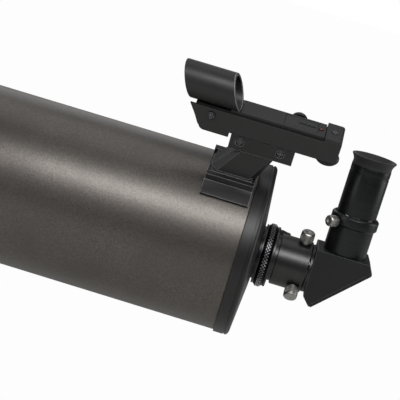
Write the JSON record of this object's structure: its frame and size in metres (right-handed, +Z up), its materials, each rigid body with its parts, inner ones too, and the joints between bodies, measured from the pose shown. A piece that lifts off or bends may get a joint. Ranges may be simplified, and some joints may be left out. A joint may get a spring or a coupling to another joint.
{
  "type": "maksutov telescope",
  "caption": "Closed-tube catadioptric telescope with a sliding-mirror focuser, right-angle diagonal and eyepiece, a red dot finder on a shoe, and a dovetail bar for a mount.",
  "frame": {"origin": "middle of the flat outer face of the dovetail bar, where a mount clamps it", "axes": "+X along the optical axis from the front lens towards the observer, +Y out of the dovetail face, +Z up as the finder and the eyepiece point"},
  "size_m": [0.4024, 0.1642, 0.2211],
  "materials": {
    "bronze_paint": "satin metallic bronze-grey paint",
    "black_paint": "satin black paint",
    "black_anodised": "satin black anodised",
    "optical_glass": "coated, polished",
    "finder_glass": "half-silvered, faint amber",
    "mirror_coat": "vacuum aluminised",
    "steel": "bright zinc plated",
    "satin_chrome": "satin",
    "chrome": "polished",
    "housing_plastic": "fine moulded texture",
    "finder_plastic": "fine moulded texture",
    "knob_plastic": "moulded",
    "knob_rubber": "matt",
    "bar_paint": "black anodised",
    "lamp_plastic": "clear red"
  },
  "bodies": {
    "tube": {"main_tube": "bronze_paint", "front_cell": "black_paint", "corrector_lens": "optical_glass", "corrector_ring": "black_anodised", "secondary_spot": "mirror_coat", "secondary_baffle": "black_paint", "rear_cell": "black_paint", "baffle_tube": "black_paint", "focus_bush": "black_anodised", "rear_port": "black_anodised", "dovetail_bar": "bar_paint", "dovetail_saddle_1": "bar_paint", "dovetail_saddle_2": "bar_paint", "dovetail_screw_1": "steel", "dovetail_screw_2": "steel", "finder_shoe": "finder_plastic", "shoe_screw_1": "steel", "shoe_screw_2": "steel"},
    "mirror_cell": {"primary_mirror": "mirror_coat", "mirror_carrier": "black_anodised", "mirror_nut": "black_anodised", "focus_rod": "steel"},
    "focus_knob": {"focus_knob": "knob_rubber"},
    "coupling_ring": {"coupling_ring": "black_anodised"},
    "visual_back": {"visual_back": "black_anodised"},
    "visual_screw_upper": {"visual_back_screw_1": "satin_chrome"},
    "visual_screw_lower": {"visual_back_screw_2": "satin_chrome"},
    "diagonal": {"diagonal_nose": "chrome", "diagonal_housing": "housing_plastic", "diagonal_cover": "housing_plastic", "cover_screw_lower": "satin_chrome", "cover_screw_upper": "satin_chrome", "diagonal_prism": "optical_glass", "prism_pad": "knob_rubber", "eyepiece_holder": "black_anodised"},
    "diagonal_screw": {"diagonal_screw": "satin_chrome"},
    "eyepiece": {"eyepiece_barrel": "chrome", "eyepiece_body": "black_anodised", "field_lens": "optical_glass", "eye_lens": "optical_glass", "eyecup": "knob_rubber"},
    "shoe_thumbscrew": {"shoe_thumbscrew": "satin_chrome"},
    "finder_base": {"finder_base": "finder_plastic", "base_screw_1": "steel", "base_screw_2": "steel"},
    "azimuth_knob": {"azimuth_knob": "knob_plastic"},
    "finder_cradle": {"finder_cradle": "finder_plastic", "cradle_pivot": "steel"},
    "altitude_wheel": {"altitude_wheel": "knob_plastic"},
    "dimmer_dial": {"dimmer_dial": "knob_plastic"},
    "sight_arm": {"sight_arm": "finder_plastic", "sight_tube": "finder_plastic", "sight_lens": "finder_glass", "sight_lamp": "lamp_plastic", "battery": "steel"},
    "battery_door": {"battery_door": "knob_plastic"}
  },
  "joints": [
    {"name": "focus_turn", "type": "hinge", "parent": "tube", "child": "focus_knob", "pos_m": [0.161, -0.04517, 0.00392], "axis": [1, 0, 0], "range_deg": [-2882, 2882]},
    {"name": "mirror_travel", "type": "slide", "parent": "tube", "child": "mirror_cell", "axis": [1, 0, 0], "range_m": [-0.006, 0.006]},
    {"name": "coupling_turn", "type": "hinge", "parent": "tube", "child": "coupling_ring", "pos_m": [0.155, -0.09, 0], "axis": [1, 0, 0], "range_deg": [0, 540]},
    {"name": "visual_back_turn", "type": "hinge", "parent": "tube", "child": "visual_back", "pos_m": [0.171, -0.09, 0], "axis": [1, 0, 0], "continuous": true},
    {"name": "upper_screw_turn", "type": "hinge", "parent": "visual_back", "child": "visual_screw_upper", "pos_m": [0.1839, -0.09, 0], "axis": [0, -0.2588, 0.9659], "range_deg": [0, 1080]},
    {"name": "lower_screw_turn", "type": "hinge", "parent": "visual_back", "child": "visual_screw_lower", "pos_m": [0.1839, -0.09, 0], "axis": [0, -0.7071, -0.7071], "range_deg": [0, 1080]},
    {"name": "diagonal_slide", "type": "slide", "parent": "visual_back", "child": "diagonal", "axis": [1, 0, 0], "range_m": [0, 0.026]},
    {"name": "diagonal_screw_turn", "type": "hinge", "parent": "diagonal", "child": "diagonal_screw", "pos_m": [0.2176, -0.09, 0.0483], "axis": [-0.7314, -0.682, 0], "range_deg": [0, 1080]},
    {"name": "eyepiece_slide", "type": "slide", "parent": "diagonal", "child": "eyepiece", "axis": [0, 0, 1], "range_m": [0, 0.0275]},
    {"name": "shoe_screw_turn", "type": "hinge", "parent": "tube", "child": "shoe_thumbscrew", "pos_m": [0.117, -0.0974, 0.08055], "axis": [0, 0.9135, 0.4067], "range_deg": [0, 1080]},
    {"name": "finder_slide", "type": "slide", "parent": "tube", "child": "finder_base", "axis": [1, 0, 0], "range_m": [0, 0.04]},
    {"name": "azimuth_turn", "type": "hinge", "parent": "finder_base", "child": "azimuth_knob", "pos_m": [0.144, -0.1238, 0.10295], "axis": [0, 0.9135, 0.4067], "range_deg": [-702, 702]},
    {"name": "cradle_azimuth", "type": "hinge", "parent": "finder_base", "child": "finder_cradle", "pos_m": [0.105, -0.13649, 0.10442], "axis": [0, -0.4067, 0.9135], "range_deg": [-2, 2]},
    {"name": "altitude_turn", "type": "hinge", "parent": "finder_cradle", "child": "altitude_wheel", "pos_m": [0.1775, -0.13527, 0.10168], "axis": [0, -0.4067, 0.9135], "range_deg": [-1080, 540]},
    {"name": "arm_altitude", "type": "hinge", "parent": "finder_cradle", "child": "sight_arm", "pos_m": [0.0811, -0.14096, 0.11447], "axis": [0, 0.9135, 0.4067], "range_deg": [-1.25, 0.62]},
    {"name": "dimmer_turn", "type": "hinge", "parent": "finder_cradle", "child": "dimmer_dial", "pos_m": [0.1479, -0.12939, 0.1229], "axis": [0, 0.9135, 0.4067], "range_deg": [0, 270]},
    {"name": "battery_door_lift", "type": "slide", "parent": "sight_arm", "child": "battery_door", "axis": [0, -0.4067, 0.9135], "range_m": [0, 0.006]}
  ],
  "couplings": [
    {"joint": "focus_turn", "follows": "mirror_travel", "rad_per_m": 8377.6},
    {"joint": "azimuth_turn", "follows": "cradle_azimuth", "ratio": 350.06},
    {"joint": "altitude_turn", "follows": "arm_altitude", "ratio": 865.28}
  ]
}
